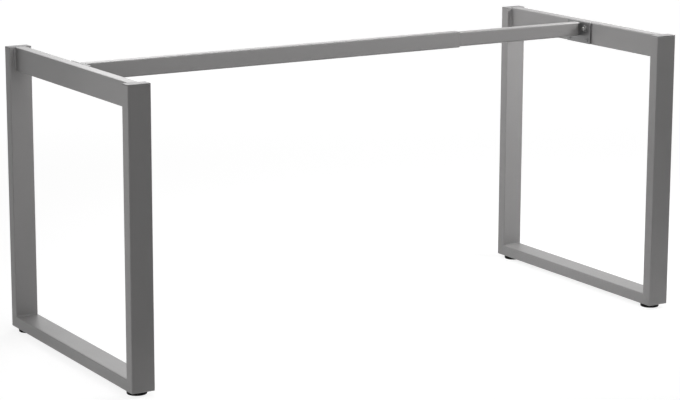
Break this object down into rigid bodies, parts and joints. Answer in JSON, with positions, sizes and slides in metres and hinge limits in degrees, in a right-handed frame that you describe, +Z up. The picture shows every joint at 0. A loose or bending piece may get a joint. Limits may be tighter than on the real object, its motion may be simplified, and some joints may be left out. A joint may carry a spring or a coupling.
{
  "type": "table base with o-shaped legs",
  "caption": "Table base of closed rectangular steel tube legs joined by a telescopic crossbar, on round levelling feet.",
  "frame": {"origin": "on the floor, at the middle of the base", "axes": "+X along the crossbar from the left leg to the right, +Y away from the viewer, +Z up"},
  "size_m": [1.6, 0.7, 0.74],
  "materials": {
    "satin_grey_paint": "satin powder coat, silver grey",
    "zinc_plate": "bright zinc plate",
    "zinc_bracket": "dull zinc plate",
    "black_plastic": "moulded"
  },
  "bodies": {
    "left_side": {"left_bottom_rail": "satin_grey_paint", "left_top_rail": "satin_grey_paint", "left_welds": "satin_grey_paint", "left_front_upright": "satin_grey_paint", "left_front_cap": "satin_grey_paint", "left_front_foot_nut": "zinc_plate", "left_rear_upright": "satin_grey_paint", "left_rear_cap": "satin_grey_paint", "left_rear_foot_nut": "zinc_plate", "left_bracket_plate": "zinc_bracket", "left_bracket_stub": "zinc_bracket", "left_bracket_bolts": "zinc_plate", "left_bracket_washers": "zinc_bracket", "left_bracket_screws": "zinc_plate", "crossbar_outer_tube": "satin_grey_paint", "crossbar_lock_screws": "zinc_plate"},
    "right_side": {"right_bottom_rail": "satin_grey_paint", "right_top_rail": "satin_grey_paint", "right_welds": "satin_grey_paint", "right_front_upright": "satin_grey_paint", "right_front_cap": "satin_grey_paint", "right_front_foot_nut": "zinc_plate", "right_rear_upright": "satin_grey_paint", "right_rear_cap": "satin_grey_paint", "right_rear_foot_nut": "zinc_plate", "right_bracket_plate": "zinc_bracket", "right_bracket_stub": "zinc_bracket", "right_bracket_bolts": "zinc_plate", "right_bracket_washers": "zinc_bracket", "right_bracket_screws": "zinc_plate", "crossbar_inner_tube": "satin_grey_paint"},
    "left_front_foot": {"left_front_foot_pad": "black_plastic", "left_front_foot_stud": "zinc_plate"},
    "left_rear_foot": {"left_rear_foot_pad": "black_plastic", "left_rear_foot_stud": "zinc_plate"},
    "right_front_foot": {"right_front_foot_pad": "black_plastic", "right_front_foot_stud": "zinc_plate"},
    "right_rear_foot": {"right_rear_foot_pad": "black_plastic", "right_rear_foot_stud": "zinc_plate"}
  },
  "joints": [
    {"name": "width_slide", "type": "slide", "parent": "left_side", "child": "right_side", "axis": [1, 0, 0], "range_m": [-0.38, 0.4]},
    {"name": "left_front_foot_height", "type": "slide", "parent": "left_side", "child": "left_front_foot", "axis": [0, 0, -1], "range_m": [0, 0.01]},
    {"name": "left_rear_foot_height", "type": "slide", "parent": "left_side", "child": "left_rear_foot", "axis": [0, 0, -1], "range_m": [0, 0.01]},
    {"name": "right_front_foot_height", "type": "slide", "parent": "right_side", "child": "right_front_foot", "axis": [0, 0, -1], "range_m": [0, 0.01]},
    {"name": "right_rear_foot_height", "type": "slide", "parent": "right_side", "child": "right_rear_foot", "axis": [0, 0, -1], "range_m": [0, 0.01]}
  ]
}
